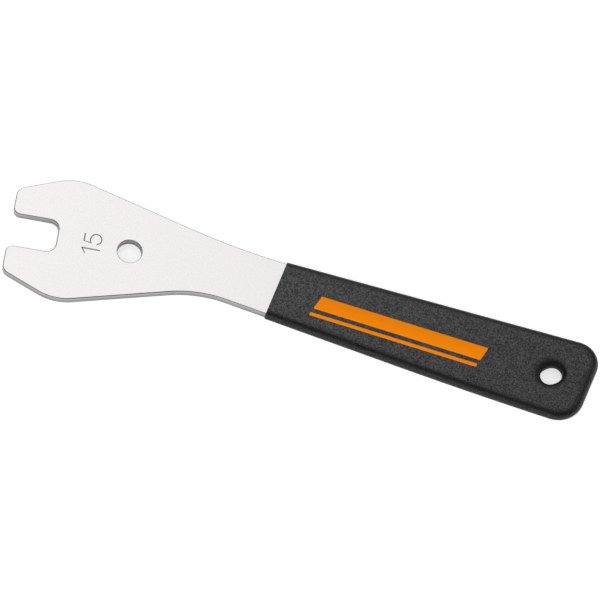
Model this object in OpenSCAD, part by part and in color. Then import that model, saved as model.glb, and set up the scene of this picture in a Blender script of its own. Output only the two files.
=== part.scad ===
// Pedal wrench: a flat steel blade with an open jaw, its tang dipped in black vinyl.
// It lies flat on the XY plane, with the handle along X and the jaw at -X.

/* [Jaw] */
// Size across the flats of the pedal axle that the jaw fits
jaw_size = 15; // [13:0.5:17]
// Extra width of the jaw over the flats that it fits
jaw_clearance = 0.1; // [0.05:0.05:0.4]
// Depth of the jaw from its tips to its bottom
jaw_depth = 20.6; // [18:0.2:23]
// Radius of the two corners at the bottom of the jaw
jaw_corner_r = 4.1; // [2.5:0.1:5.5]
// Radius of the inner corner of each tip
tip_inner_r = 3.1; // [2:0.1:4.5]
// Radius of the outer corner of each tip
tip_outer_r = 4.3; // [3:0.1:6]

/* [Head] */
// Width across the outer corners of the two tips
tips_w = 39.6; // [37:0.2:43]
// Width across the two shoulders, before they are rounded
head_w = 59.6; // [56:0.2:64]
// Distance of the shoulders behind the tips
shoulder_back = 24; // [22:0.5:27]
// Radius of the two shoulders
shoulder_r = 23; // [16:0.5:24]
// Angle by which each side of the head closes towards the neck
head_taper = 15.5; // [13:0.5:18]
// Angle of the jaw to the handle
head_angle = 8.1; // [4:0.1:12]
// Length along the jaw's axis from the tips to where it crosses the handle's axis
head_len = 73.5; // [70:0.5:78]

/* [Holes] */
// Radius of the hole in the head
head_hole_r = 5.3; // [4:0.1:6.5]
// Distance of the hole in the head behind the tips
head_hole_back = 52.2; // [48:0.2:56]
// Distance of the hole in the head below the jaw's axis
head_hole_drop = 0.8; // [0:0.1:2]
// Width of the chamfer round the hole in the head
head_hole_chamfer = 0.3; // [0.1:0.05:0.6]
// Radius of the hanging hole, inside its vinyl lining
hang_hole_r = 4.6; // [3:0.1:5]
// Distance of the hanging hole from the end of the handle
hang_hole_inset = 17.6; // [15:0.2:22]
// Thickness of the vinyl that lines the hanging hole
hang_lining = 1.2; // [0.8:0.1:2]

/* [Blade] */
// Thickness of the steel
blade_t = 4; // [3:0.1:5]
// Radius that breaks every edge of the steel
blade_edge_r = 0.4; // [0.2:0.05:0.8]
// Length of bare steel from where the two axes cross to the start of the grip
neck_len = 43.8; // [38:0.2:50]
// Width of the steel where the grip starts
neck_w = 25.7; // [24:0.1:28]
// Width of the steel at its far end
tang_w = 36.6; // [33:0.1:40]
// Radius of the long curve from the head into the upper side of the handle
upper_neck_r = 320; // [200:10:340]
// Radius of the short curve from the head into the lower side of the handle
lower_neck_r = 55; // [35:1:65]
// Radius of the upper corner at the end of the steel
end_upper_r = 8.4; // [6:0.2:11]
// Radius of the lower corner at the end of the steel
end_lower_r = 11; // [8:0.2:13]
// Angle by which the end of the handle leans
end_lean = 8; // [0:0.5:10]
// Height of the slight belly on the lower side of the handle
belly_h = 1; // [0.4:0.1:1.6]

/* [Grip] */
// Length of the dipped grip
grip_len = 142; // [120:0.2:160]
// Thickness of the vinyl on the faces of the steel
coat_face = 1.1; // [0.8:0.1:1.6]
// Thickness of the vinyl on the edges of the steel
coat_side = 1.3; // [1:0.05:1.8]
// Radius of the edges of the grip, nearly half its thickness
grip_edge_r = 3; // [2:0.1:3]
// Radius of the rolled rim round the hanging hole
hang_rim_r = 2.2; // [1:0.1:2.4]
// Angle by which the mouth of the grip leans
mouth_lean = 5; // [0:0.5:8]
// Radius of the edge round the mouth of the grip
mouth_edge_r = 0.35; // [0.2:0.05:0.6]

/* [Hidden] */

// How far a flat facet of an arc may lie inside the true curve
chord_error = 0.02;
// Flat facets across each rounded edge
blade_edge_steps = 3;
grip_edge_steps = 8;
mouth_edge_steps = 3;
// Flat facets down each rim of the hanging hole
rim_steps = 8;
// Facets of a round hole
round_fn = 96;
// How far a cutting shape reaches past the face that it cuts
past = 1;
// How far the coat is drawn past its mouth, before it is cut off there, and its corners there
uncut_len = 8;
uncut_corner_r = 4;

jaw_gap = jaw_size + jaw_clearance;
grip_t = blade_t + 2 * coat_face;
end_x = neck_len + grip_len - coat_side;
belly_x = neck_len + grip_len * 0.65;
belly_r = grip_len * 15;
hang_x = neck_len + grip_len - hang_hole_inset;

// Places in blade_corners of the corners that are used by name
END_LOWER = 0;
END_UPPER = 1;
SHOULDER_UPPER = 3;
JAW_LOWER = 7;
SHOULDER_LOWER = 10;
NECK_LOWER = 11;
BELLY = 12;

// Plane geometry

function unit(v) = v / norm(v);

// A direction at an angle to X
function heading(angle) = [cos(angle), sin(angle)];

// Where the line through p along d meets the line through q along e
function meet(p, d, q, e) = p + d * cross(q - p, e) / cross(d, e);

// Turns a point of the head, given along and across the jaw's axis from the tips, into place
function on_head(along, across) = let (from_cross = along - head_len)
    [from_cross * cos(head_angle) - across * sin(head_angle),
     from_cross * sin(head_angle) + across * cos(head_angle)];

// Rounded outlines: a corner is [point, radius], and an inset moves the whole line inwards

// Number of steps of the arc at a corner
function arc_steps(radius, sweep) = max(2, ceil(abs(sweep) / (2 * acos(1 - chord_error / radius))));

// Points of the arc that rounds the corner b between its neighbours a and c
function arc(a, b, c, radius, inset) = let (
    arriving = unit(a - b),
    leaving = unit(c - b),
    half = acos(arriving * leaving) / 2,
    side = sign(cross(b - a, c - b)),
    centre = b + unit(arriving + leaving) * radius / sin(half),
    touch = b + arriving * radius / tan(half) - centre,
    first = atan2(touch.y, touch.x),
    sweep = side * (180 - 2 * half),
    steps = arc_steps(radius, sweep)
) [for (k = [0 : steps]) centre + (radius - side * inset) * heading(first + sweep * k / steps)];

// The arcs of every corner in turn
function arcs(corners, inset) = let (n = len(corners)) [
    for (i = [0 : n - 1])
        arc(corners[(i + n - 1) % n][0], corners[i][0], corners[(i + 1) % n][0], corners[i][1], inset)
];

// All arcs joined into one closed line
function outline(corners, inset) = [for (one = arcs(corners, inset)) each one];

// Number of points before a corner's own
function points_before(corners, corner) = corner == 0 ? 0
    : len([for (k = [0 : corner - 1]) each arcs(corners, 0)[k]]);

// Height and inset of each ring of a plate whose edges are rounded
function plate_rings(thickness, edge_r, steps) = concat(
    [for (k = [0 : steps]) let (a = 90 * k / steps) [edge_r * (1 - cos(a)), edge_r * (1 - sin(a))]],
    [for (k = [steps : -1 : 0]) let (a = 90 * k / steps)
        [thickness - edge_r * (1 - cos(a)), edge_r * (1 - sin(a))]]
);

// Triangles from one point to each step of a run of points
function fan(centre, first, last, n) = [for (i = [first : last - 1]) [centre, i % n, (i + 1) % n]];

// A plate with this outline and rounded edges. cap holds the triangles of its flat faces,
// anticlockwise seen from above. outset moves the outline outwards.
module plate(corners, outset, thickness, edge_r, steps, cap) {
    rings = plate_rings(thickness, edge_r, steps);
    n = len(outline(corners, 0));
    top = (len(rings) - 1) * n;
    polyhedron(
        points = [for (ring = rings) each [for (p = outline(corners, ring[1] - outset)) [p.x, p.y, ring[0]]]],
        faces = concat(
            cap,
            [for (t = cap) [top + t[2], top + t[1], top + t[0]]],
            [for (k = [0 : len(rings) - 2]) each [for (i = [0 : n - 1])
                [k * n + i, (k + 1) * n + i, (k + 1) * n + (i + 1) % n, k * n + (i + 1) % n]]]
        ),
        convexity = 6
    );
}

// The blade

// Upper or lower side of the handle: a point on it and its direction
tang_flare = atan2((tang_w - neck_w) / 2, end_x - neck_len);
function side_point(side) = [neck_len, side * neck_w / 2];
function side_heading(side) = heading(side * tang_flare);

// Where a side of the handle meets a line across it
function across_handle(side, x, lean) = meet(side_point(side), side_heading(side), [x, 0], heading(90 - lean));

// Where a side of the head, closing from its shoulder, meets the side of the handle
function neck_corner(side) = meet(on_head(shoulder_back, side * head_w / 2),
    heading(head_angle - side * head_taper), side_point(side), side_heading(side));

belly_corner = [belly_x, across_handle(-1, belly_x, 0).y - belly_h];

// Corners of the blade, anticlockwise seen from above: the end, then the upper side of the neck
// and head, the jaw, the lower side, and the belly
blade_corners = [
    [across_handle(-1, end_x, end_lean), end_lower_r],
    [across_handle(1, end_x, end_lean), end_upper_r],
    [neck_corner(1), upper_neck_r],
    [on_head(shoulder_back, head_w / 2), shoulder_r],
    [on_head(0, tips_w / 2), tip_outer_r],
    [on_head(0, jaw_gap / 2), tip_inner_r],
    [on_head(jaw_depth, jaw_gap / 2), jaw_corner_r],
    [on_head(jaw_depth, -jaw_gap / 2), jaw_corner_r],
    [on_head(0, -jaw_gap / 2), tip_inner_r],
    [on_head(0, -tips_w / 2), tip_outer_r],
    [on_head(shoulder_back, -head_w / 2), shoulder_r],
    [neck_corner(-1), lower_neck_r],
    [belly_corner, belly_r]
];

function blade_first(corner) = points_before(blade_corners, corner);
function blade_last(corner) = blade_first(corner) + len(arcs(blade_corners, 0)[corner]) - 1;

// The flat faces, cut into fans: one for each side of the jaw, one across the head
// and one along the handle, each from a point that sees the whole of its run
function blade_cap() = let (
    n = len(outline(blade_corners, 0)),
    upper = blade_first(SHOULDER_UPPER),
    lower = blade_last(SHOULDER_LOWER),
    neck = blade_last(NECK_LOWER)
) concat(
    fan(upper, upper + 1, blade_first(JAW_LOWER), n),
    fan(lower, blade_first(JAW_LOWER), lower - 1, n),
    [[upper, blade_first(JAW_LOWER), lower]],
    fan(upper, lower, neck, n),
    fan(neck, neck + 1, n + upper, n)
);

// Cuts a round hole with a chamfer at both faces of the blade
module chamfered_hole(radius, chamfer) {
    rotate_extrude($fn = round_fn)
        polygon([
            [0, -past],
            [radius + chamfer + past, -past],
            [radius, chamfer],
            [radius, blade_t - chamfer],
            [radius + chamfer + past, blade_t + past],
            [0, blade_t + past]
        ]);
}

// The steel as it lies, its underside one coat above the ground
module steel() {
    head_hole = on_head(head_hole_back, -head_hole_drop);
    translate([0, 0, coat_face])
        difference() {
            plate(blade_corners, 0, blade_t, blade_edge_r, blade_edge_steps, blade_cap());
            translate(head_hole)
                chamfered_hole(head_hole_r, head_hole_chamfer);
            translate([hang_x, 0, -past])
                cylinder(h = blade_t + 2 * past, r = hang_hole_r + hang_lining, $fn = round_fn);
        }
}

// The grip

grip_corners = [
    blade_corners[END_LOWER],
    blade_corners[END_UPPER],
    [across_handle(1, neck_len - uncut_len, mouth_lean), uncut_corner_r],
    [across_handle(-1, neck_len - uncut_len, mouth_lean), uncut_corner_r],
    blade_corners[BELLY]
];

// Section of a cut from start to edge, whose rims roll out into both faces of the grip
module rolled_section(start, edge, rim_r, steps) {
    rim = [for (k = [0 : steps]) let (a = 90 * k / steps)
        [edge + rim_r * (1 - cos(a)), rim_r * (1 - sin(a))]];
    polygon(concat(
        [[start, -past], [edge + rim_r, -past]],
        [for (k = [steps : -1 : 0]) rim[k]],
        [for (k = [0 : steps]) [rim[k].x, grip_t - rim[k].y]],
        [[edge + rim_r, grip_t + past], [start, grip_t + past]]
    ));
}

// Cuts the hanging hole
module hanging_hole() {
    translate([hang_x, 0, 0])
        rotate_extrude($fn = round_fn)
            rolled_section(0, hang_hole_r, hang_rim_r, rim_steps);
}

// Cuts the coat off square at its mouth
module mouth() {
    translate([neck_len, 0, 0])
        rotate([90, 0, -mouth_lean])
            linear_extrude(height = 2 * tang_w, center = true)
                rolled_section(-2 * uncut_len, 0, mouth_edge_r, mouth_edge_steps);
}

// Centring

all_points = concat(outline(blade_corners, 0), outline(grip_corners, -coat_side));
all_x = [for (p = all_points) p.x];
all_y = [for (p = all_points) p.y];
middle = [(min(all_x) + max(all_x)) / 2, (min(all_y) + max(all_y)) / 2];

// Puts the middle of the wrench's underside at the origin
module centred() {
    translate([-middle.x, -middle.y, 0])
        children();
}

module blade() {
    color([0.87, 0.87, 0.86])
        centred()
            steel();
}

module grip() {
    n = len(outline(grip_corners, 0));
    color([0.1, 0.1, 0.1])
        centred()
            difference() {
                plate(grip_corners, coat_side, grip_t, min(grip_edge_r, grip_t * 0.49), grip_edge_steps,
                    fan(0, 1, n - 1, n));
                steel();
                hanging_hole();
                mouth();
            }
}

blade();
grip();
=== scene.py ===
# %% [markdown]
# # A pedal wrench with a dipped handle
#
# The real wrench is a flat steel blade, stamped out of sheet, tumbled to break its edges and plated.
# Its handle was then dipped in black vinyl. Both parts are one idea used twice: a line with rounded
# corners, carried up through a stack of levels, where each level draws the line in a little. The
# steel has a small quarter round along its edges and the vinyl a nearly full one.
#
# Every skin here is computed with numpy from the maker's own values: widths, radii and angles.
# The picture is in metres, but the values are in millimetres, the unit of the workshop.

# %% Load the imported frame
import math

import bpy
import numpy as np
from mathutils import Matrix, Vector
from mathutils.geometry import delaunay_2d_cdt


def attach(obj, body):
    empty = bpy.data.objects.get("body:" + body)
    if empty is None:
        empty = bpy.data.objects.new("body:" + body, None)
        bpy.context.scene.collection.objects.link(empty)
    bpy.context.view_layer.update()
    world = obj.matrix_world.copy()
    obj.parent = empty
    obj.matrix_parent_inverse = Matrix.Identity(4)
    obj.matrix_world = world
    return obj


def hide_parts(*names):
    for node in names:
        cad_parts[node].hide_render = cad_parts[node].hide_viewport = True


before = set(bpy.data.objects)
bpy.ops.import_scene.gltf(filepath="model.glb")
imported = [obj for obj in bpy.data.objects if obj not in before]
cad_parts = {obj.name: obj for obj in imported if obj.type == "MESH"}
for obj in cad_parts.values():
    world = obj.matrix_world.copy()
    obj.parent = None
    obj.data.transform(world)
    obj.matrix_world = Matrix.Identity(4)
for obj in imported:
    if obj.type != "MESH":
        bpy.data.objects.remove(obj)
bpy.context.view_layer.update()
MM = 0.001

# %% [markdown]
# ## The maker's values
#
# The wrench is laid out from the point where the axis of the jaw crosses the axis of the handle.
# The handle runs along X from there. The head lies the other way, turned by the angle of the jaw.
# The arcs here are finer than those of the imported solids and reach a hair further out, so the length
# and width of the head are a hair less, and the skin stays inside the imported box.

# %% State the values
CROSSING = np.array([-55.9375, 6.7696])
JAW_ANGLE = math.radians(8.1)
HEAD_LEN = 73.49
JAW_GAP = 15.1
JAW_DEPTH = 20.6
TIPS_W = 39.6
HEAD_W = 59.56
SHOULDER_BACK = 24.0
HEAD_TAPER = math.radians(15.5)
JAW_CORNER_R = 4.1
TIP_INNER_R = 3.1
TIP_OUTER_R = 4.3
SHOULDER_R = 23.0
STEEL_T = 4.0
STEEL_EDGE_R = 0.5

NECK_LEN = 43.8
NECK_W = 25.7
TANG_W = 36.6
END_LEAN = math.radians(8.0)
UPPER_NECK_R = 320.0
LOWER_NECK_R = 55.0
END_UPPER_R = 8.4
END_LOWER_R = 11.0
BELLY_H = 1.0

GRIP_LEN = 142.0
BELLY_PLACE = 0.65
BELLY_R = GRIP_LEN * 15
COAT_FACE = 1.1
COAT_SIDE = 1.3
GRIP_T = STEEL_T + 2 * COAT_FACE
GRIP_EDGE_R = 3.0
MOUTH_LEAN = math.radians(5.0)
MOUTH_EDGE_R = 0.35
MOUTH_CORNER_R = 0.15

HEAD_HOLE_BACK = 52.2
HEAD_HOLE_DROP = 0.8
HEAD_HOLE_R = 5.3
HEAD_HOLE_CHAMFER = 0.3
HANG_INSET = 17.6
HANG_LINING = 1.2
HANG_HOLE_R = 4.6
HANG_RIM_R = 2.2

STEEL_LOW = COAT_FACE
STEEL_TOP = COAT_FACE + STEEL_T
print("steel", STEEL_T, "mm thick, grip", GRIP_T, "mm thick")

# %% [markdown]
# ## Camera
#
# The picture looks down on the wrench as it lies, 26 degrees away from straight above, from the
# side of its long lower edge. The camera is rolled, so that the handle runs down to the right.
# A long lens at just over a metre keeps the two long edges almost parallel. A constraint could aim
# the camera, but its three axes follow directly from the tilt, the azimuth and the roll.

# %% Place the camera
PICTURE = 600
SENSOR = 36.0
TILT = math.radians(26.0)
AZIMUTH = math.radians(-91.0)
ROLL = math.radians(17.056)
DISTANCE = 1.1
AIM = np.array([-0.00081, 0.00738, 0.0])
PIXELS_PER_METRE = 2313.7
NEAREST = 0.05
FARTHEST = 20.0


def heading(angle):
    """The unit vector in the plane at an angle from X: its cosine and its sine."""
    return np.array([math.cos(angle), math.sin(angle)])


def camera_axes(tilt, azimuth, roll):
    """Right, up and back unit vectors. back leans from +Z by tilt towards azimuth. up is +Y less its
    share along back, and right is up cross back. Both then turn by roll about back."""
    back = np.append(math.sin(tilt) * heading(azimuth), math.cos(tilt))
    up = np.array([0.0, 1.0, 0.0]) - back * back[1]
    up /= np.linalg.norm(up)
    right = np.cross(up, back)
    c, s = heading(roll)
    return c * right + s * up, c * up - s * right, back


def place_camera():
    """Stands back from the aim by the distance. The lens is the distance times the pixels per metre
    there, times the width of the sensor over that of the picture."""
    right, up, back = camera_axes(TILT, AZIMUTH, ROLL)
    data = bpy.data.cameras.new("camera")
    data.sensor_width = SENSOR
    data.lens = PIXELS_PER_METRE * DISTANCE * SENSOR / PICTURE
    data.clip_start = NEAREST
    data.clip_end = FARTHEST
    made = bpy.data.objects.new("camera", data)
    bpy.context.collection.objects.link(made)
    turn = Matrix(np.column_stack([right, up, back]).tolist()).to_4x4()
    made.matrix_world = Matrix.Translation(Vector(AIM + back * DISTANCE)) @ turn
    bpy.context.scene.camera = made
    print("camera lens", round(data.lens, 1), "mm, at", [round(v, 3) for v in made.location])


place_camera()

# %% [markdown]
# ## Rounded lines
#
# A stamped outline is straight sides joined by arcs. Drawing it in by an inset moves each side along
# its own normal and finds the corners anew where the moved sides meet. That keeps every arc tangent
# to its sides, and lets one side, such as the mouth of the grip, move less than the others.

# %% Draw rounded lines
ARC_STEPS = 14
LEAST_R = 0.12


def cross(a, b):
    """The cross product of plane vectors: x of a by y of b, less y of a by x of b."""
    return a[..., 0] * b[..., 1] - a[..., 1] * b[..., 0]


def meet(p, d, q, e):
    """Where the line through p along d meets the line through q along e: p plus d times the cross
    product of q - p with e, over the cross product of d with e."""
    return p + d * (cross(q - p, e) / cross(d, e))[..., None]


def rounded_line(corners, radii, inset, steps=ARC_STEPS):
    """Points of a closed anticlockwise line whose corners are arcs. Side k leaves corner k and moves
    inwards by inset k. An arc starts where its circle touches the side before it, one tangent
    length (radius by the tangent of half the turn) from the corner, and turns evenly from there."""
    corners = np.asarray(corners, float)
    inset = np.broadcast_to(inset, len(corners)).astype(float)
    after = np.roll(corners, -1, 0) - corners
    after /= np.linalg.norm(after, axis=1)[:, None]
    inwards = np.stack([-after[:, 1], after[:, 0]], 1)
    start = corners + inwards * inset[:, None]
    before = np.roll(after, 1, 0)
    moved = meet(np.roll(start, 1, 0), before, start, after)
    turn = np.arctan2(cross(before, after), (before * after).sum(1))
    side = np.sign(turn)
    radius = np.maximum(radii - side * (inset + np.roll(inset, 1)) / 2, LEAST_R)
    touch = moved - before * (radius * np.tan(np.abs(turn) / 2))[:, None]
    centre = touch + np.roll(inwards, 1, 0) * (side * radius)[:, None]
    first = np.arctan2(*(touch - centre).T[::-1])
    angle = first[:, None] + turn[:, None] * np.linspace(0, 1, steps + 1)
    ring = centre[:, None] + radius[:, None, None] * np.stack([np.cos(angle), np.sin(angle)], -1)
    return ring.reshape(-1, 2)


trial = rounded_line([(0, 0), (10, 0), (10, 10), (0, 10)], np.full(4, 2.0), 1.0)
print("a 10 mm square drawn in by 1 mm measures", np.ptp(trial, axis=0).round(3).tolist())

# %% [markdown]
# ## The corners of the wrench
#
# Both outlines are lists of corners with their radii. Those of the head are given along and across
# the axis of the jaw, and those of the handle along and across its own axis, so the angle of the jaw
# is one value. The neck has no measured corner. It is where a side of the head meets a side of the
# handle, and its large radius makes the long sweep between them.

# %% Lay out the corners
def on_head(along, across):
    """A point of the head, given along the jaw's axis from its tips and across it: back along the
    axis from the crossing, then turned by the angle of the jaw."""
    back = np.asarray(along, float) - HEAD_LEN
    across = np.asarray(across, float)
    c, s = heading(JAW_ANGLE)
    return np.stack([back * c - across * s, back * s + across * c], -1)


def on_handle(along, across):
    """A point of the handle, whose axis is X."""
    return np.stack(np.broadcast_arrays(np.asarray(along, float), np.asarray(across, float)), -1)


END_X = NECK_LEN + GRIP_LEN
TANG_END = END_X - COAT_SIDE
FLARE = math.atan2((TANG_W - NECK_W) / 2, TANG_END - NECK_LEN)


def across_handle(side, x, lean):
    """Where one side of the handle meets a line across it that leans."""
    return meet(np.array([NECK_LEN, side * NECK_W / 2]), heading(side * FLARE), np.array([x, 0.0]),
                heading(math.pi / 2 - lean))


def neck_corner(side):
    """Where one side of the head, closing from its shoulder, meets the same side of the handle."""
    return meet(on_head(SHOULDER_BACK, side * HEAD_W / 2), heading(JAW_ANGLE - side * HEAD_TAPER),
                np.array([NECK_LEN, side * NECK_W / 2]), heading(side * FLARE))


BELLY_X = NECK_LEN + GRIP_LEN * BELLY_PLACE
BELLY = across_handle(-1, BELLY_X, 0.0) - np.array([0.0, BELLY_H])
END_LOWER = across_handle(-1, TANG_END, END_LEAN)
END_UPPER = across_handle(1, TANG_END, END_LEAN)

STEEL_CORNERS = [
    (END_LOWER, END_LOWER_R),
    (END_UPPER, END_UPPER_R),
    (neck_corner(1), UPPER_NECK_R),
    (on_head(SHOULDER_BACK, HEAD_W / 2), SHOULDER_R),
    (on_head(0, TIPS_W / 2), TIP_OUTER_R),
    (on_head(0, JAW_GAP / 2), TIP_INNER_R),
    (on_head(JAW_DEPTH, JAW_GAP / 2), JAW_CORNER_R),
    (on_head(JAW_DEPTH, -JAW_GAP / 2), JAW_CORNER_R),
    (on_head(0, -JAW_GAP / 2), TIP_INNER_R),
    (on_head(0, -TIPS_W / 2), TIP_OUTER_R),
    (on_head(SHOULDER_BACK, -HEAD_W / 2), SHOULDER_R),
    (neck_corner(-1), LOWER_NECK_R),
    (BELLY, BELLY_R),
]
GRIP_CORNERS = [
    (END_LOWER, END_LOWER_R),
    (END_UPPER, END_UPPER_R),
    (across_handle(1, NECK_LEN, MOUTH_LEAN), MOUTH_CORNER_R),
    (across_handle(-1, NECK_LEN, MOUTH_LEAN), MOUTH_CORNER_R),
    (BELLY, BELLY_R),
]
MOUTH_SIDE = 2


def steel_line(inset):
    """The outline of the steel, drawn in by the inset on every side."""
    points, radii = zip(*STEEL_CORNERS)
    return rounded_line(points, np.array(radii), inset) + CROSSING


def grip_line(inset):
    """The grip's line: the steel's own line moved out by the coat, but at the mouth the coat is
    trimmed, so there the edge rolls in over only the mouth's small radius."""
    points, radii = zip(*GRIP_CORNERS)
    each = np.full(len(points), inset - COAT_SIDE)
    each[MOUTH_SIDE] = inset * MOUTH_EDGE_R / GRIP_EDGE_R
    return rounded_line(points, np.array(radii), each) + CROSSING


print("steel line", len(steel_line(0)), "points, grip line", len(grip_line(0)), "points")

# %% [markdown]
# ## Levels, holes and caps
#
# A plate is a stack of rings. Each ring is the line at one inset and one height, and quads join each
# ring to the next. A hole is the same stack, walked downwards, so that its wall faces the empty
# middle. The two flat faces are cut into triangles by a constrained Delaunay method, which follows
# every outline and leaves the holes open. One extra ring just inside each rounded edge keeps the
# flat face shaded flat.

# %% Make the rings of an edge and of a hole
EDGE_STEPS = 10
FLAT_MARGIN = 0.06
HOLE_POINTS = 96


def edge_levels(thickness, radius, lead=0.0, steps=EDGE_STEPS):
    """Inset and height of each ring of a plate: a quarter round at the bottom edge, another at the
    top edge, and a narrow flat margin inside both. A lead lets the face slope gently towards the
    round: it adds the lead times the fourth power of one less the sine of the round's angle."""
    a = np.linspace(0, math.pi / 2, steps + 1)
    reach, rise = 1 - np.sin(a), radius * (1 - np.cos(a))
    slope = radius * reach + lead * reach ** 4
    flat = [radius + lead + FLAT_MARGIN]
    return (np.concatenate([flat, slope, slope[::-1], flat]),
            np.concatenate([[0.0], rise, thickness - rise[::-1], [thickness]]))


def lifted(line, height):
    """Plane points raised to one height."""
    return np.column_stack([line, np.full(len(line), height)])


def hole_rings(centre, radius, insets, heights, oval=0.0, turn=0.0):
    """Rings of a hole's wall, from the top down. The radius grows by each inset and by an oval term:
    its size times the cosine of twice the angle from the long axis."""
    angle = np.linspace(0, 2 * math.pi, HOLE_POINTS, endpoint=False)
    spokes = np.stack([np.cos(angle), np.sin(angle)], -1)
    reach = radius + oval * np.cos(2 * (angle - turn))
    return np.stack([lifted(centre + (reach + i)[:, None] * spokes, h)
                     for i, h in zip(insets, heights[::-1])])


print("insets of the grip's edge in mm", edge_levels(GRIP_T, GRIP_EDGE_R)[0].round(2).tolist())

# %% Join rings into a closed plate
INSIDE_ONLY = 1
SAME_POINT = 1e-7


def stack_faces(rings, points, first):
    """Quads between neighbouring rings of a stack whose vertices start at first."""
    ring, point = np.meshgrid(np.arange(rings - 1), np.arange(points), indexing="ij")
    here = first + ring * points + point
    ahead = first + ring * points + (point + 1) % points
    return np.stack([here, ahead, ahead + points, here + points], -1).reshape(-1, 4)


def flat_face(loops):
    """Triangles over the first loop with the others left open, as places in the joined list of the
    loops' points, all anticlockwise. Every hole is convex, so a triangle belongs to a hole when all
    three of its corners are on that hole."""
    joined = np.concatenate(loops)
    sizes = [len(loop) for loop in loops]
    starts = np.cumsum([0] + sizes)
    rounds = [(s + np.arange(n), s + np.roll(np.arange(n), -1)) for s, n in zip(starts, sizes)]
    edges = np.concatenate([np.stack(ends, 1) for ends in rounds]).tolist()
    points = [Vector(p) for p in joined.tolist()]
    _, _, faces, origin, _, _ = delaunay_2d_cdt(points, edges, [], INSIDE_ONLY, SAME_POINT)
    place = np.array([o[0] for o in origin])
    triangles = place[np.array(faces)]
    owner = np.repeat(np.arange(len(loops)), sizes)[triangles]
    triangles = triangles[(owner[:, 0] == 0) | (owner != owner[:, :1]).any(1)]
    corners = joined[triangles]
    flip = cross(corners[:, 1] - corners[:, 0], corners[:, 2] - corners[:, 0]) < 0
    triangles[flip] = triangles[flip][:, ::-1]
    return triangles


def plate(stacks):
    """Vertices and blocks of faces of a closed plate. Each stack is an array of rings: the outside
    goes up from the lowest ring, and each hole goes down from the highest."""
    verts = np.concatenate([s.reshape(-1, 3) for s in stacks])
    firsts = np.cumsum([0] + [s.shape[0] * s.shape[1] for s in stacks])
    places = [first + np.arange(s.shape[0] * s.shape[1]).reshape(s.shape[:2])
              for s, first in zip(stacks, firsts)]
    blocks = [stack_faces(s.shape[0], s.shape[1], first) for s, first in zip(stacks, firsts)]
    for top in (True, False):
        ends = [(-1 if (n == 0) == top else 0) for n in range(len(stacks))]
        loops = [s[end][:, :2] for s, end in zip(stacks, ends)]
        on_loops = np.concatenate([p[end] for p, end in zip(places, ends)])
        cap = on_loops[flat_face(loops)]
        blocks.append(cap if top else cap[:, ::-1])
    return verts, blocks


print("three rings of four points make", len(stack_faces(3, 4, 0)), "faces")

# %% Turn points into a piece
SHARP = math.radians(35)


def shade(data):
    """Smooth shading, except where two faces meet at more than the sharp angle."""
    data.shade_smooth()
    data.set_sharp_from_angle(angle=SHARP)


def piece(name, verts, blocks, slot=None):
    """A mesh object made of points in millimetres, smooth except where faces meet sharply."""
    data = bpy.data.meshes.new(name)
    data.from_pydata((verts * MM).tolist(), [], sum((block.tolist() for block in blocks), []))
    data.validate()
    shade(data)
    made = bpy.data.objects.new(name, data)
    bpy.context.collection.objects.link(made)
    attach(made, "root")
    print(name, len(data.vertices), "points,", len(data.polygons), "faces")
    return made


print("edges sharper than", round(math.degrees(SHARP)), "degrees stay sharp")

# %% [markdown]
# ## The steel blade
#
# The blade is stamped out of 4 mm sheet. Tumbling with stones then rounds its edges, and the plating
# smooths them. A bevel modifier on a thick outline would do much the same, but here the rings of the
# plate give the round exactly, and give each hole its own smaller one. The hole for hanging is larger
# in the steel than in the finished wrench, because the vinyl lines it.

# %% Build the blade
HOLE_BREAK_STEPS = 3
HIDDEN_BREAK = 0.05
HEAD_HOLE = on_head(HEAD_HOLE_BACK, -HEAD_HOLE_DROP) + CROSSING
HANG_HOLE = on_handle(END_X - HANG_INSET, 0.0) + CROSSING


def drilled(centre, radius, edge_break):
    """Rings of a hole in the steel, with both of its edges broken."""
    insets, heights = edge_levels(STEEL_T, edge_break, steps=HOLE_BREAK_STEPS)
    return hole_rings(centre, radius, insets, STEEL_LOW + heights)


insets, heights = edge_levels(STEEL_T, STEEL_EDGE_R)
blade_stacks = [
    np.stack([lifted(steel_line(i), STEEL_LOW + h) for i, h in zip(insets, heights)]),
    drilled(HEAD_HOLE, HEAD_HOLE_R, HEAD_HOLE_CHAMFER),
    drilled(HANG_HOLE, HANG_HOLE_R + HANG_LINING, HIDDEN_BREAK),
]
blade = piece("steel_blade", *plate(blade_stacks), slot="steel")
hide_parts("blade")

# %% [markdown]
# ## The vinyl grip
#
# A dip coat creeps round the edges of the steel, which makes them nearly half round, and it thins
# towards them, so the faces slope gently for the last few millimetres. It is trimmed at the mouth,
# where its edge is crisp. In the hanging hole it drew itself into a slightly oval opening while it
# set. The coat could be offset from the steel's mesh, but an offset keeps the steel's small edges. So
# the grip is first a plate of its own, and then the steel is taken out of it, as the real coat was
# formed on the steel.

# %% Build the grip
INK_PROUD = 0.03
VINYL_T = GRIP_T - INK_PROUD
EDGE_LEAD = 2.0
RIM_LEAD = 3.0
OVAL = 0.63
OVAL_TURN = 0.80
HANG_SHIFT = np.array([0.04, -0.12])


def carved(body, cutter):
    """Takes the cutter's solid out of the body's."""
    carve = body.modifiers.new("carve", "BOOLEAN")
    carve.operation = "DIFFERENCE"
    carve.solver = "EXACT"
    carve.object = cutter
    evaluated = body.evaluated_get(bpy.context.evaluated_depsgraph_get())
    data = bpy.data.meshes.new_from_object(evaluated)
    body.modifiers.clear()
    data.name = body.name
    body.data = data
    shade(data)
    print(body.name, "carved:", len(data.vertices), "points,", len(data.polygons), "faces")


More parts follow.
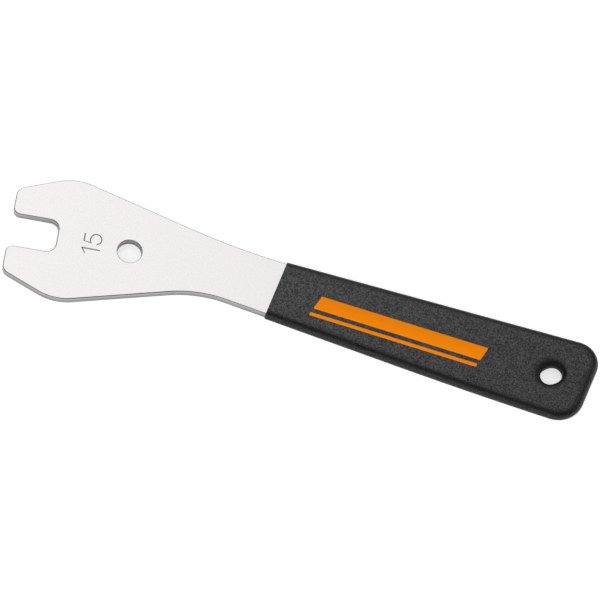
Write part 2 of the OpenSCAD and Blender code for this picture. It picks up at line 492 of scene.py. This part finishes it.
insets, heights = edge_levels(VINYL_T, GRIP_EDGE_R, EDGE_LEAD)
rim = edge_levels(VINYL_T, HANG_RIM_R, RIM_LEAD)
grip_stacks = [
    np.stack([lifted(grip_line(i), h) for i, h in zip(insets, heights)]),
    hole_rings(HANG_HOLE + HANG_SHIFT, HANG_HOLE_R, *rim, OVAL, OVAL_TURN),
]
grip = piece("vinyl_grip", *plate(grip_stacks), slot="vinyl")
carved(grip, blade)
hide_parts("grip")

# %% [markdown]
# ## The size number
#
# The size of the jaw is etched beside it in thin strokes, and reads across the wrench. An etch only
# darkens the plating, so a carved groove would be too deep, and a typeface would be heavier than these
# listed strokes. Each stroke is a path, smoothed by a Catmull-Rom curve where it bends, and carries
# a thin flat section of its own width. It lies in the steel, and only its dark top shows.

# %% Etch the number
ETCH_PROUD = 0.006
ETCH_Z = STEEL_TOP + ETCH_PROUD
ETCH_DEEP = 0.05
CURVE_STEPS = 8
STROKES = [
    (0.62, False, [(31.5, -2.9), (39.6, -3.0)]),
    (0.50, True, [(31.9, -3.0), (32.5, -4.0), (33.3, -5.2)]),
    (0.62, False, [(32.2, 4.1), (32.1, 0.4)]),
    (0.42, False, [(32.1, 0.5), (34.9, 0.0)]),
    (0.58, True, [(35.3, -0.3), (34.9, 0.8), (34.8, 2.0), (35.5, 3.6), (36.8, 4.3),
                  (38.4, 4.0), (39.4, 2.9), (39.6, 1.7), (39.1, 0.4), (37.8, -0.3)]),
]


def smoothed(points):
    """Catmull-Rom curve: between points b and c, with neighbours a and d, each place t is half of
    2b + (c - a)t + (2a - 5b + 4c - d)t^2 + (3b - a - 3c + d)t^3."""
    points = np.asarray(points, float)
    padded = np.concatenate([[2 * points[0] - points[1]], points, [2 * points[-1] - points[-2]]])
    a, b, c, d = padded[:-3, None], padded[1:-2, None], padded[2:-1, None], padded[3:, None]
    t = np.linspace(0, 1, CURVE_STEPS, endpoint=False)[None, :, None]
    square = 2 * a - 5 * b + 4 * c - d
    cube = 3 * b - a - 3 * c + d
    curve = (2 * b + (c - a) * t + square * t ** 2 + cube * t ** 3) / 2
    return np.concatenate([curve.reshape(-1, 2), points[-1:]])


def ribbon(path, width, low, top):
    """A flat bar along a plane path: each point gets four corners, half a width to either side of
    the mean of its two directions, at both heights. The ends are closed by one quad each."""
    step = np.diff(path, axis=0)
    step /= np.linalg.norm(step, axis=1)[:, None]
    along = np.concatenate([step[:1], step[:-1] + step[1:], step[-1:]])
    along /= np.linalg.norm(along, axis=1)[:, None]
    left = np.stack([-along[:, 1], along[:, 0]], 1) * width / 2
    grid = np.stack([lifted(path + left, low), lifted(path - left, low), lifted(path - left, top),
                     lifted(path + left, top)], 1)
    ends = np.array([[0, 1, 2, 3], np.arange(4 * len(path))[:-5:-1]])
    return grid.reshape(-1, 3), [stack_faces(len(path), 4, 0)[:, ::-1], ends]


def joined(parts):
    """Several sets of vertices and faces as one: each set's faces move on by the vertices before."""
    starts = np.cumsum([0] + [len(verts) for verts, _ in parts])
    verts = np.concatenate([verts for verts, _ in parts])
    return verts, [block + start for start, (_, blocks) in zip(starts, parts) for block in blocks]


def stroke(width, bent, points):
    """One stroke of the number, on the head's own axes."""
    path = smoothed(points) if bent else np.asarray(points, float)
    return ribbon(on_head(*path.T) + CROSSING, width, ETCH_Z - ETCH_DEEP, ETCH_Z)


number = piece("size_number", *joined([stroke(*s) for s in STROKES]))

# %% [markdown]
# ## The print on the grip
#
# The grip carries a flash of orange ink, a plain pair of stripes, one broad and one fine, with
# slanting ends. It could be a mask in the vinyl's material, but a pad print has a crisp edge and a
# slight thickness. So each stripe is a very thin plate, made by the same functions as the steel.

# %% Print the stripes
INK_TOP = GRIP_T
INK_T = 0.08
INK_CORNER_R = 0.5
INK_CORNER_STEPS = 5
INK_EDGE = 0.03
STRIPE_START = 63.0
STRIPE_END = 138.0
STRIPE_SLANT = 0.32
STRIPES = [(-1.0, 6.6), (-7.1, 1.6)]


def stripe(middle, width):
    """A thin plate between two lines along the handle. Its ends slant by a share of the height."""
    low, high = middle - width / 2, middle + width / 2
    corners = on_handle([STRIPE_START + low * STRIPE_SLANT, STRIPE_END + low * STRIPE_SLANT,
                         STRIPE_END + high * STRIPE_SLANT, STRIPE_START + high * STRIPE_SLANT],
                        [low, low, high, high])
    levels = ((0.0, INK_TOP - INK_T), (0.0, INK_TOP - INK_EDGE / 3), (INK_EDGE, INK_TOP))
    rings = [lifted(rounded_line(corners, INK_CORNER_R, i, INK_CORNER_STEPS) + CROSSING, h)
             for i, h in levels]
    return plate([np.stack(rings)])


ink = piece("orange_print", *joined([stripe(*s) for s in STRIPES]))

# %% [markdown]
# ## The sky
#
# Plated metal has hardly a colour of its own: it shows the studio. Here that is a long softbox behind
# the wrench, where its flat faces mirror it into the camera, and a dark gap from there over the
# camera to the front. The rounded edges mirror the gap, so each gets its thin dark line. Panels on
# stands could make the same picture, but bands of a sky need no distances and leave no hot spots.
# One band runs from front to back and one from left to right. They are multiplied, and a faint glow
# of the room near the horizon is added.

# %% State the bands, as stops of place and brightness
FRONT_TO_BACK = [(-1.0, 0.50), (-0.92, 0.50), (-0.80, 0.30), (-0.66, 0.24), (-0.15, 0.13), (0.05, 0.62),
                 (0.20, 1.45), (0.30, 1.68), (0.58, 1.68), (0.80, 0.40), (1.0, 0.05)]
LEFT_TO_RIGHT = [(-1.0, 0.03), (-0.52, 0.05), (-0.30, 1.06), (0.02, 1.02), (0.07, 0.90), (0.12, 0.68),
                 (0.25, 0.40), (0.42, 0.08), (0.62, 0.12), (0.80, 0.45), (1.0, 0.40)]
LOW_TO_HIGH = [(-1.0, 0.42), (0.15, 0.42), (0.60, 0.0), (1.0, 0.0)]
print("sky with", len(FRONT_TO_BACK), "by", len(LEFT_TO_RIGHT), "stops")

# %% Build the sky
def new_nodes(tree):
    """Clears a node tree and returns two helpers: one adds a node, one joins two sockets."""
    tree.nodes.clear()

    def add(kind, values=None, **settings):
        made = tree.nodes.new(kind)
        for name, value in settings.items():
            setattr(made, name, value)
        for name, value in (values or {}).items():
            made.inputs[name].default_value = value
        return made

    return add, tree.links.new


def ranged(add, span, values):
    """A node that turns one range of numbers into another, and holds the ends of it."""
    return add("ShaderNodeMapRange", {"From Min": span[0], "From Max": span[1],
                                      "To Min": values[0], "To Max": values[1]})


def banded(add, join, source, stops):
    """A brightness that eases from stop to stop as one coordinate of a direction, from -1 to 1, goes
    from side to side. The ramp itself runs from 0 to 1 and holds at most 1, so both are scaled."""
    top = max(value for _, value in stops)
    place = ranged(add, (-1.0, 1.0), (0.0, 1.0))
    ramp = add("ShaderNodeValToRGB")
    ramp.color_ramp.interpolation = "EASE"
    points = ramp.color_ramp.elements
    while len(points) < len(stops):
        points.new(0.5)
    for point, (at, value) in zip(points, stops):
        point.position = (at + 1) / 2
        point.color = (value / top, value / top, value / top, 1.0)
    scale = add("ShaderNodeMath", {1: top}, operation="MULTIPLY")
    join(source, place.inputs["Value"])
    join(place.outputs["Result"], ramp.inputs["Fac"])
    join(ramp.outputs["Color"], scale.inputs[0])
    return scale.outputs[0]


def make_sky():
    """The brightness of a direction is its front-to-back band times its left-to-right band, plus a
    faint glow of the room near the horizon."""
    world = bpy.data.worlds.new("studio")
    bpy.context.scene.world = world
    world.use_nodes = True
    add, join = new_nodes(world.node_tree)
    direction = add("ShaderNodeTexCoord")
    apart = add("ShaderNodeSeparateXYZ")
    both = add("ShaderNodeMath", operation="MULTIPLY")
    total = add("ShaderNodeMath", operation="ADD")
    sky = add("ShaderNodeBackground", {"Color": (1.0, 1.0, 1.0, 1.0)})
    out = add("ShaderNodeOutputWorld")
    join(direction.outputs["Generated"], apart.inputs[0])
    join(banded(add, join, apart.outputs["Y"], FRONT_TO_BACK), both.inputs[0])
    join(banded(add, join, apart.outputs["X"], LEFT_TO_RIGHT), both.inputs[1])
    join(both.outputs[0], total.inputs[0])
    join(banded(add, join, apart.outputs["Z"], LOW_TO_HIGH), total.inputs[1])
    join(total.outputs[0], sky.inputs["Strength"])
    join(sky.outputs["Background"], out.inputs["Surface"])


make_sky()
bpy.context.scene.view_settings.view_transform = "Standard"
print("sky at most", max(value for _, value in FRONT_TO_BACK), "bright, towards the back")

# %% [markdown]
# ## Lamps
#
# The sky alone leaves matt surfaces a little dim. Two wide lamps stand in front, to the left and the
# right, and bring them to about the colours that their materials state. They are as wide as a window,
# so their shadows are soft. Shiny surfaces don't mirror them, as if they hung behind a dark screen,
# because from behind the wrench they would bleach its steel.

# %% Hang the lamps
LAMPS = [((-1.1, -0.75, 0.75), 16.0), ((1.1, -0.75, 0.75), 16.0)]
LAMP_SIZE = 1.6


def make_lamps():
    """Discs of light that face the wrench."""
    for place, watts in LAMPS:
        data = bpy.data.lights.new("side_lamp", "AREA")
        data.shape = "DISK"
        data.size = LAMP_SIZE
        data.energy = watts
        lamp = bpy.data.objects.new("side_lamp", data)
        bpy.context.collection.objects.link(lamp)
        lamp.location = place
        lamp.rotation_euler = Vector(place).to_track_quat("Z", "Y").to_euler()
        lamp.visible_glossy = False
        print("lamp of", watts, "W at", place)


make_lamps()

# %% [markdown]
# ## The floor
#
# The wrench lies on a white sheet. White paper still reflects less light than it gets, so the sheet
# adds a little light of its own, but only to what the camera sees, and less of it to what the metal
# and the vinyl mirror. It lights nothing, and the soft shadow of the wrench stays on it.

# %% Lay the floor
FLOOR_SIZE = 6.0
FLOOR_COLOUR = (0.80, 0.80, 0.80, 1.0)
FLOOR_LIFT = 0.56
MIRRORED_LIFT = 0.14


def new_material(name):
    """A material without nodes, and the two helpers that fill it."""
    made = bpy.data.materials.new(name)
    made.use_nodes = True
    return made, *new_nodes(made.node_tree)


def make_floor():
    """A matt sheet, plus a glow that only camera, glossy and transmission rays meet."""
    half = FLOOR_SIZE / 2
    data = bpy.data.meshes.new("floor")
    corners = [(-half, -half, 0), (half, -half, 0), (half, half, 0), (-half, half, 0)]
    data.from_pydata(corners, [], [(0, 1, 2, 3)])
    floor = bpy.data.objects.new("floor", data)
    bpy.context.collection.objects.link(floor)
    sheet, add, join = new_material("white_sheet")
    paper = add("ShaderNodeBsdfDiffuse", {"Color": FLOOR_COLOUR})
    glow = add("ShaderNodeEmission")
    rays = add("ShaderNodeLightPath")
    mirrored = add("ShaderNodeMath", operation="MAXIMUM")
    some = add("ShaderNodeMath", {1: MIRRORED_LIFT}, operation="MULTIPLY")
    lift = add("ShaderNodeMath", {1: FLOOR_LIFT}, operation="MULTIPLY_ADD")
    both = add("ShaderNodeAddShader")
    out = add("ShaderNodeOutputMaterial")
    join(rays.outputs["Is Glossy Ray"], mirrored.inputs[0])
    join(rays.outputs["Is Transmission Ray"], mirrored.inputs[1])
    join(mirrored.outputs[0], some.inputs[0])
    join(rays.outputs["Is Camera Ray"], lift.inputs[0])
    join(some.outputs[0], lift.inputs[2])
    join(lift.outputs[0], glow.inputs["Strength"])
    join(paper.outputs["BSDF"], both.inputs[0])
    join(glow.outputs["Emission"], both.inputs[1])
    join(both.outputs["Shader"], out.inputs["Surface"])
    data.materials.append(sheet)


make_floor()
print("white sheet", FLOOR_SIZE, "m wide")

# %% [markdown]
# ## Satin plating
#
# The steel was tumbled and then plated. The plating is bright but blurs what it mirrors, and the fine
# grain of the sheet shows through it as a faint mottle in tone, blur and relief. One noise on the
# object's own coordinates gives all three.
#
# The stamped walls are duller than the rolled faces. A punch first shears the sheet, which leaves a
# fairly bright band under the upper edge, and then tears it, which leaves a darker, rougher one. So
# the finish also follows how steep the surface is and its height, and a broad ripple along the wall
# moves the border. The colours of both bands are partly that finish and partly painted light: painted
# shade for the dim, shadowed floor that the walls mirror, and a painted highlight in the lighter band
# under the upper edge. A picture of metal would be simpler, but it holds the reflections of one place,
# and would be wrong from every other side.

# %% Finish the steel
STEEL_COLOUR = (0.553, 0.549, 0.540, 1.0)
# The two wall colours are partly the real finish of a stamped edge and partly painted light: both sit
# below the face's tone as painted shade for the dim floor that the walls mirror, and the sheared band
# is lighter than the torn one as a painted highlight under the upper edge.
SHEARED_COLOUR_AND_SHADE = (0.52, 0.52, 0.52, 1.0)
TORN_COLOUR_AND_SHADE = (0.40, 0.40, 0.40, 1.0)
TORN_BLUR = 0.12
TEAR_FROM = 3.2
TEAR_TO = 3.8
TEAR_RIPPLE = 1.0
RIPPLES_PER_METRE = 70.0
STEEL_ROUGHNESS = (0.19, 0.27)
STEEL_MOTTLE = (0.925, 1.075)
GRAIN_PER_METRE = 1500.0
GRAIN_DEPTH = 0.02
WALL_SLOPE = (0.25, 0.6)
NOISE_SPAN = (0.3, 0.7)


def make_steel():
    """A metal whose tone, blur and relief follow one noise. Its steep walls are duller, and darkest
    where the height, plus a ripple about zero, is below the tear. Their darker colour is partly painted
    shade."""
    steel, add, join = new_material("satin_plating")
    place = add("ShaderNodeTexCoord")
    mottle = add("ShaderNodeTexNoise", {"Scale": GRAIN_PER_METRE, "Detail": 3.0, "Roughness": 0.7})
    rough = ranged(add, NOISE_SPAN, STEEL_ROUGHNESS)
    bump = add("ShaderNodeBump", {"Strength": 0.5, "Distance": GRAIN_DEPTH * MM})
    tone = ranged(add, NOISE_SPAN, STEEL_MOTTLE)
    shade = add("ShaderNodeVectorMath", operation="SCALE")
    apart = add("ShaderNodeSeparateXYZ")
    steep = add("ShaderNodeMath", operation="ABSOLUTE")
    wall = ranged(add, WALL_SLOPE, (1.0, 0.0))
    solid = add("ShaderNodeSeparateXYZ")
    ripple = add("ShaderNodeTexNoise", {"Scale": RIPPLES_PER_METRE, "Detail": 2.0})
    level = add("ShaderNodeMath", {1: TEAR_RIPPLE * MM}, operation="MULTIPLY_ADD")
    tear = (np.array([TEAR_FROM, TEAR_TO]) + TEAR_RIPPLE / 2) * MM
    torn = ranged(add, tear, (1.0, 0.0))
    both = add("ShaderNodeMath", operation="MULTIPLY")
    blur = add("ShaderNodeMath", {1: TORN_BLUR}, operation="MULTIPLY_ADD")
    # Painted shade and painted highlight: the wall colours, mixed in by steepness and height.
    walls = add("ShaderNodeMix", {6: SHEARED_COLOUR_AND_SHADE, 7: TORN_COLOUR_AND_SHADE}, data_type="RGBA")
    colour = add("ShaderNodeMix", {6: STEEL_COLOUR}, data_type="RGBA")
    metal = add("ShaderNodeBsdfPrincipled", {"Metallic": 1.0})
    out = add("ShaderNodeOutputMaterial")
    join(place.outputs["Object"], mottle.inputs["Vector"])
    join(mottle.outputs["Fac"], rough.inputs["Value"])
    join(mottle.outputs["Fac"], tone.inputs["Value"])
    join(mottle.outputs["Fac"], bump.inputs["Height"])
    join(place.outputs["Normal"], apart.inputs[0])
    join(apart.outputs["Z"], steep.inputs[0])
    join(steep.outputs[0], wall.inputs["Value"])
    join(place.outputs["Object"], ripple.inputs["Vector"])
    join(place.outputs["Object"], solid.inputs[0])
    join(ripple.outputs["Fac"], level.inputs[0])
    join(solid.outputs["Z"], level.inputs[2])
    join(level.outputs[0], torn.inputs["Value"])
    join(torn.outputs["Result"], walls.inputs[0])
    join(walls.outputs[2], colour.inputs[7])
    join(wall.outputs["Result"], colour.inputs[0])
    join(wall.outputs["Result"], both.inputs[0])
    join(torn.outputs["Result"], both.inputs[1])
    join(both.outputs[0], blur.inputs[0])
    join(rough.outputs["Result"], blur.inputs[2])
    join(colour.outputs[2], shade.inputs[0])
    join(tone.outputs["Result"], shade.inputs["Scale"])
    join(shade.outputs["Vector"], metal.inputs["Base Color"])
    join(blur.outputs[0], metal.inputs["Roughness"])
    join(bump.outputs["Normal"], metal.inputs["Normal"])
    join(metal.outputs["BSDF"], out.inputs["Surface"])
    return steel


blade.data.materials.append(make_steel())
print("steel grain", round(1 / (GRAIN_PER_METRE * MM), 2), "mm across")

# %% Finish the number
ETCH_COLOUR = (0.25, 0.23, 0.21)
ETCH_TONE = (0.6, 1.4)
ETCH_GRAIN_PER_METRE = 4000.0
ETCH_GRAIN_DEPTH = 0.01


def make_etch():
    """A matt dark grey, broken up by a very fine noise."""
    etch, add, join = new_material("etched_steel")
    place = add("ShaderNodeTexCoord")
    grain = add("ShaderNodeTexNoise", {"Scale": ETCH_GRAIN_PER_METRE, "Detail": 2.0})
    tone = ranged(add, NOISE_SPAN, ETCH_TONE)
    shade = add("ShaderNodeVectorMath", {0: ETCH_COLOUR}, operation="SCALE")
    bump = add("ShaderNodeBump", {"Strength": 0.3, "Distance": ETCH_GRAIN_DEPTH * MM})
    matt = add("ShaderNodeBsdfPrincipled", {"Roughness": 0.6, "Specular IOR Level": 0.3})
    out = add("ShaderNodeOutputMaterial")
    join(place.outputs["Object"], grain.inputs["Vector"])
    join(grain.outputs["Fac"], tone.inputs["Value"])
    join(tone.outputs["Result"], shade.inputs["Scale"])
    join(shade.outputs["Vector"], matt.inputs["Base Color"])
    join(grain.outputs["Fac"], bump.inputs["Height"])
    join(bump.outputs["Normal"], matt.inputs["Normal"])
    join(matt.outputs["BSDF"], out.inputs["Surface"])
    return etch


number.data.materials.append(make_etch())
print("etch grain", round(1 / (ETCH_GRAIN_PER_METRE * MM), 2), "mm across")

# %% [markdown]
# ## Dipped vinyl and ink
#
# The vinyl sets with a fine leathery grain. It is nearly black, so what is seen of it is mostly a soft
# shine, and the grain breaks that up: its hollows shine less than its tops. On the steep sides the
# shine is turned down, and most of all on the bead round the hole: that is painted shade, for the
# shade that falls there. A finer mesh could carry the grain, but at about half a millimetre across it
# is the work of a material. The ink lies on the same grain and fills most of it.

# %% Finish the grip
VINYL_COLOUR = (0.007, 0.007, 0.0072, 1.0)
INK_COLOUR = (0.885, 0.234, 0.0, 1.0)
LEATHER_PER_METRE = 1700.0
LEATHER_SPAN = (0.35, 0.65)
VINYL_ROUGHNESS = (0.34, 0.24)
SIDE_SLOPE = (0.2, 0.7)
# Painted shade: on steep sides and on the bead round the hole the shine drops to these shares.
SIDE_SHADED_SHINE = 0.68
BEAD_SHADED_SHINE = 0.5
BEAD_FROM = HANG_HOLE_R + 1.0
BEAD_TO = HANG_HOLE_R + HANG_RIM_R + 2.0


def make_vinyl(name, colour, shine, depth):
    """A plastic whose shine, blur and relief follow one noise: shine is the specular level in the
    hollows and on the tops of the grain, and depth is that of the grain in millimetres. The shine is
    less where the surface is steep, and where the distance from the axis of the hole is small, as
    painted shade."""
    vinyl, add, join = new_material(name)
    place = add("ShaderNodeTexCoord")
    grain = add("ShaderNodeTexNoise", {"Scale": LEATHER_PER_METRE, "Detail": 3.0, "Roughness": 0.6})
    rough = ranged(add, NOISE_SPAN, VINYL_ROUGHNESS)
    gloss = ranged(add, LEATHER_SPAN, shine)
    bump = add("ShaderNodeBump", {"Strength": 0.6, "Distance": depth * MM})
    apart = add("ShaderNodeSeparateXYZ")
    level = add("ShaderNodeMath", operation="ABSOLUTE")
    # Painted shade on the steep sides.
    side_shade = ranged(add, SIDE_SLOPE, (SIDE_SHADED_SHINE, 1.0))
    sheen = add("ShaderNodeMath", operation="MULTIPLY")
    plane = add("ShaderNodeVectorMath", {1: (1.0, 1.0, 0.0)}, operation="MULTIPLY")
    away = add("ShaderNodeVectorMath", {1: (*HANG_HOLE * MM, 0.0)}, operation="DISTANCE")
    # Painted shade round the hole.
    bead = ranged(add, (BEAD_FROM * MM, BEAD_TO * MM), (BEAD_SHADED_SHINE, 1.0))
    shaded = add("ShaderNodeMath", operation="MULTIPLY")
    skin = add("ShaderNodeBsdfPrincipled", {"Base Color": colour, "IOR": 1.5,
                                            "Specular IOR Level": (shine[0] + shine[1]) / 2})
    out = add("ShaderNodeOutputMaterial")
    join(place.outputs["Object"], grain.inputs["Vector"])
    join(grain.outputs["Fac"], rough.inputs["Value"])
    join(grain.outputs["Fac"], gloss.inputs["Value"])
    join(grain.outputs["Fac"], bump.inputs["Height"])
    join(rough.outputs["Result"], skin.inputs["Roughness"])
    join(place.outputs["Normal"], apart.inputs[0])
    join(apart.outputs["Z"], level.inputs[0])
    join(level.outputs[0], side_shade.inputs["Value"])
    join(gloss.outputs["Result"], sheen.inputs[0])
    join(side_shade.outputs["Result"], sheen.inputs[1])
    join(place.outputs["Object"], plane.inputs[0])
    join(plane.outputs["Vector"], away.inputs[0])
    join(away.outputs["Value"], bead.inputs["Value"])
    join(sheen.outputs[0], shaded.inputs[0])
    join(bead.outputs["Result"], shaded.inputs[1])
    join(shaded.outputs[0], skin.inputs["Specular IOR Level"])
    join(bump.outputs["Normal"], skin.inputs["Normal"])
    join(skin.outputs["BSDF"], out.inputs["Surface"])
    return vinyl


grip.data.materials.append(make_vinyl("dipped_vinyl", VINYL_COLOUR, (0.17, 0.86), 0.13))
ink.data.materials.append(make_vinyl("orange_ink", INK_COLOUR, (0.02, 0.06), 0.02))
print("vinyl grain", round(1 / (LEATHER_PER_METRE * MM), 2), "mm across")
